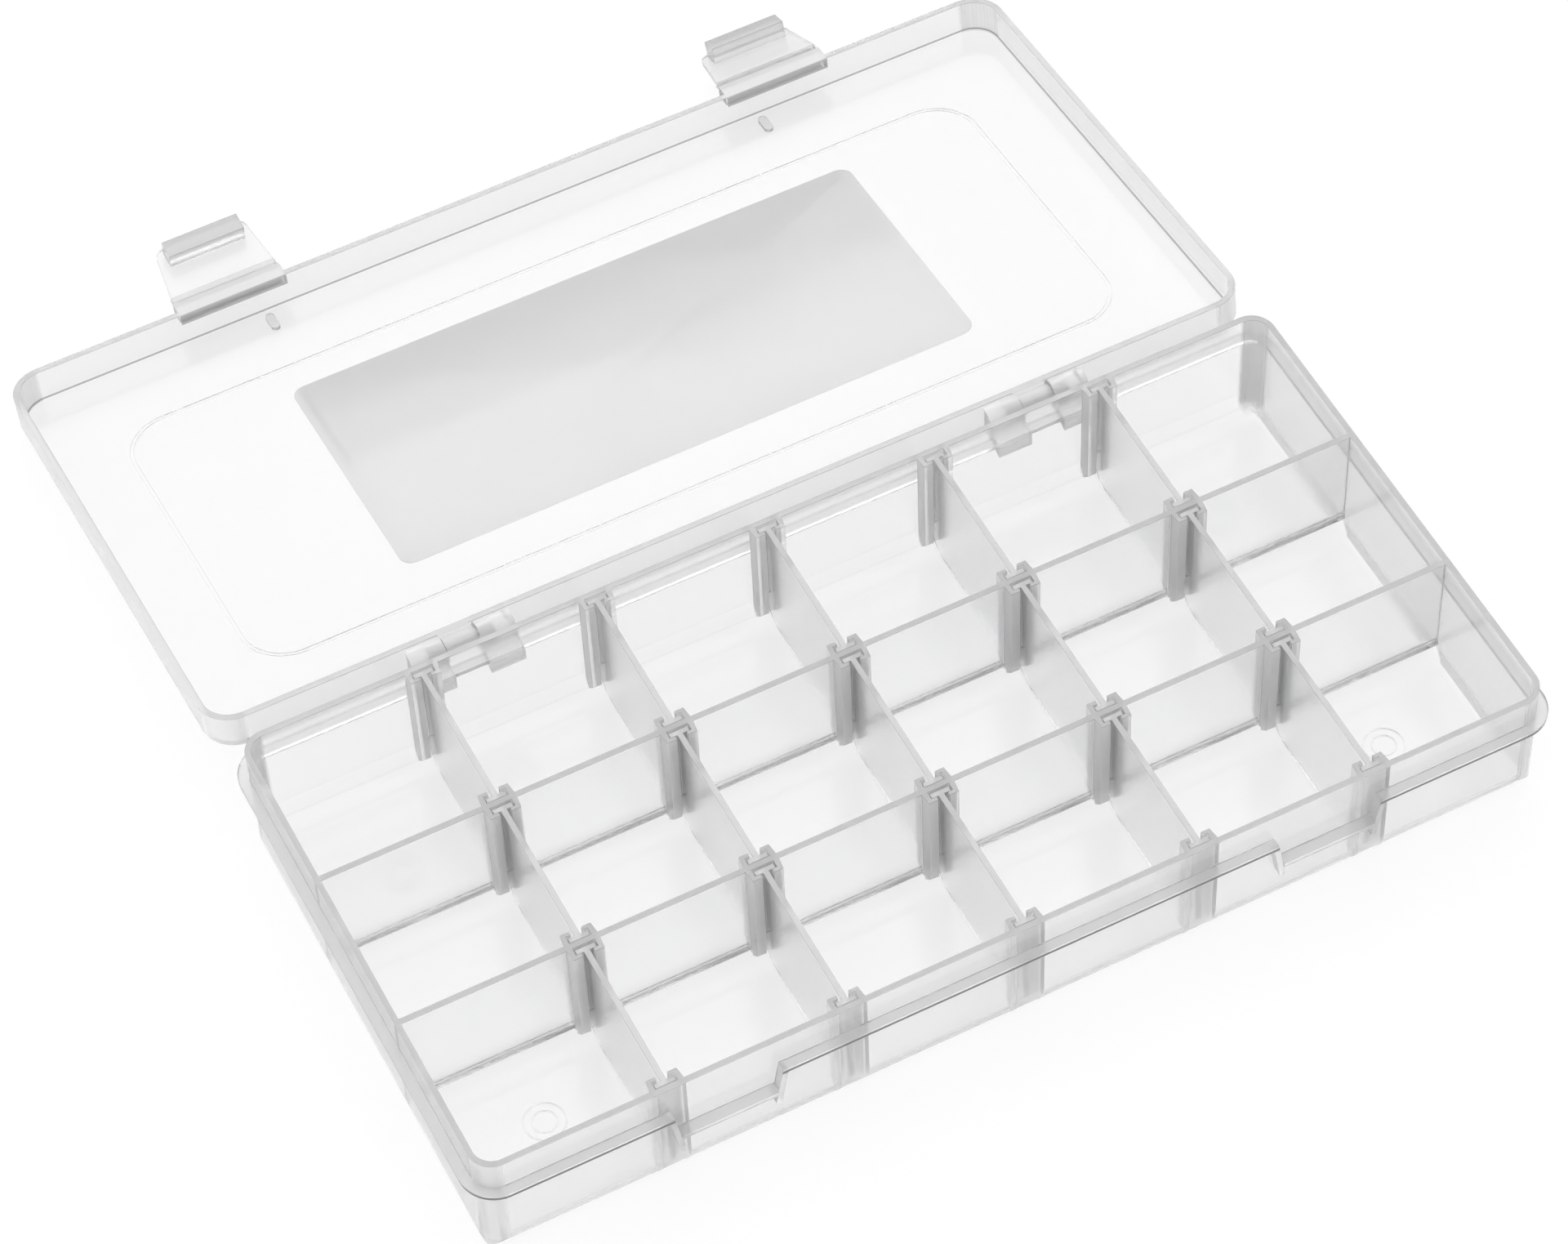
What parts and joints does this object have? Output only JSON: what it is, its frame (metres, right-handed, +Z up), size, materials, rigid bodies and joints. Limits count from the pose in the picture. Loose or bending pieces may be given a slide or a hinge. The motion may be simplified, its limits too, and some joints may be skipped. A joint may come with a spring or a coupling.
{
  "type": "fishing tackle box",
  "caption": "Shallow clear plastic tackle case: a tray divided into three rows by fixed walls, lift-out dividers in T-slots, a hinged lid and fold-over latches.",
  "frame": {"origin": "middle of the tray's flat underside", "axes": "+X along the length to the right seen from the latch side, +Y from the latch side towards the hinges, +Z up"},
  "size_m": [0.2348, 0.2556, 0.031],
  "materials": {
    "clear_shell": "gloss, clear polypropylene",
    "frosted_divider": "slightly frosted polypropylene",
    "label": "plain matt film"
  },
  "bodies": {
    "base": {"base": "clear_shell"},
    "lid": {"lid": "clear_shell", "label": "label"},
    "latch_left": {"latch_left": "clear_shell"},
    "latch_right": {"latch_right": "clear_shell"},
    "divider_front_1": {"divider_front_1": "frosted_divider"},
    "divider_front_2": {"divider_front_2": "frosted_divider"},
    "divider_front_3": {"divider_front_3": "frosted_divider"},
    "divider_front_4": {"divider_front_4": "frosted_divider"},
    "divider_front_5": {"divider_front_5": "frosted_divider"},
    "divider_middle_1": {"divider_middle_1": "frosted_divider"},
    "divider_middle_2": {"divider_middle_2": "frosted_divider"},
    "divider_middle_3": {"divider_middle_3": "frosted_divider"},
    "divider_middle_4": {"divider_middle_4": "frosted_divider"},
    "divider_middle_5": {"divider_middle_5": "frosted_divider"},
    "divider_back_1": {"divider_back_1": "frosted_divider"},
    "divider_back_2": {"divider_back_2": "frosted_divider"},
    "divider_back_3": {"divider_back_3": "frosted_divider"},
    "divider_back_4": {"divider_back_4": "frosted_divider"},
    "divider_back_5": {"divider_back_5": "frosted_divider"}
  },
  "joints": [
    {"name": "lid_hinge", "type": "hinge", "parent": "base", "child": "lid", "pos_m": [0, 0.0612, 0.025], "axis": [-1, 0, 0], "range_deg": [-187.5, 0]},
    {"name": "latch_left_fold", "type": "hinge", "parent": "lid", "child": "latch_left", "pos_m": [-0.065, 0.1832, 0.00934], "axis": [-1, 0, 0], "range_deg": [-78, 25]},
    {"name": "latch_right_fold", "type": "hinge", "parent": "lid", "child": "latch_right", "pos_m": [0.065, 0.1832, 0.00934], "axis": [-1, 0, 0], "range_deg": [-103, 0]},
    {"name": "divider_front_1_lift", "type": "slide", "parent": "base", "child": "divider_front_1", "axis": [0, 0, 1], "range_m": [0, 0.03]},
    {"name": "divider_front_2_lift", "type": "slide", "parent": "base", "child": "divider_front_2", "axis": [0, 0, 1], "range_m": [0, 0.03]},
    {"name": "divider_front_3_lift", "type": "slide", "parent": "base", "child": "divider_front_3", "axis": [0, 0, 1], "range_m": [0, 0.03]},
    {"name": "divider_front_4_lift", "type": "slide", "parent": "base", "child": "divider_front_4", "axis": [0, 0, 1], "range_m": [0, 0.03]},
    {"name": "divider_front_5_lift", "type": "slide", "parent": "base", "child": "divider_front_5", "axis": [0, 0, 1], "range_m": [0, 0.03]},
    {"name": "divider_middle_1_lift", "type": "slide", "parent": "base", "child": "divider_middle_1", "axis": [0, 0, 1], "range_m": [0, 0.03]},
    {"name": "divider_middle_2_lift", "type": "slide", "parent": "base", "child": "divider_middle_2", "axis": [0, 0, 1], "range_m": [0, 0.03]},
    {"name": "divider_middle_3_lift", "type": "slide", "parent": "base", "child": "divider_middle_3", "axis": [0, 0, 1], "range_m": [0, 0.03]},
    {"name": "divider_middle_4_lift", "type": "slide", "parent": "base", "child": "divider_middle_4", "axis": [0, 0, 1], "range_m": [0, 0.03]},
    {"name": "divider_middle_5_lift", "type": "slide", "parent": "base", "child": "divider_middle_5", "axis": [0, 0, 1], "range_m": [0, 0.03]},
    {"name": "divider_back_1_lift", "type": "slide", "parent": "base", "child": "divider_back_1", "axis": [0, 0, 1], "range_m": [0, 0.03]},
    {"name": "divider_back_2_lift", "type": "slide", "parent": "base", "child": "divider_back_2", "axis": [0, 0, 1], "range_m": [0, 0.03]},
    {"name": "divider_back_3_lift", "type": "slide", "parent": "base", "child": "divider_back_3", "axis": [0, 0, 1], "range_m": [0, 0.03]},
    {"name": "divider_back_4_lift", "type": "slide", "parent": "base", "child": "divider_back_4", "axis": [0, 0, 1], "range_m": [0, 0.03]},
    {"name": "divider_back_5_lift", "type": "slide", "parent": "base", "child": "divider_back_5", "axis": [0, 0, 1], "range_m": [0, 0.03]}
  ]
}
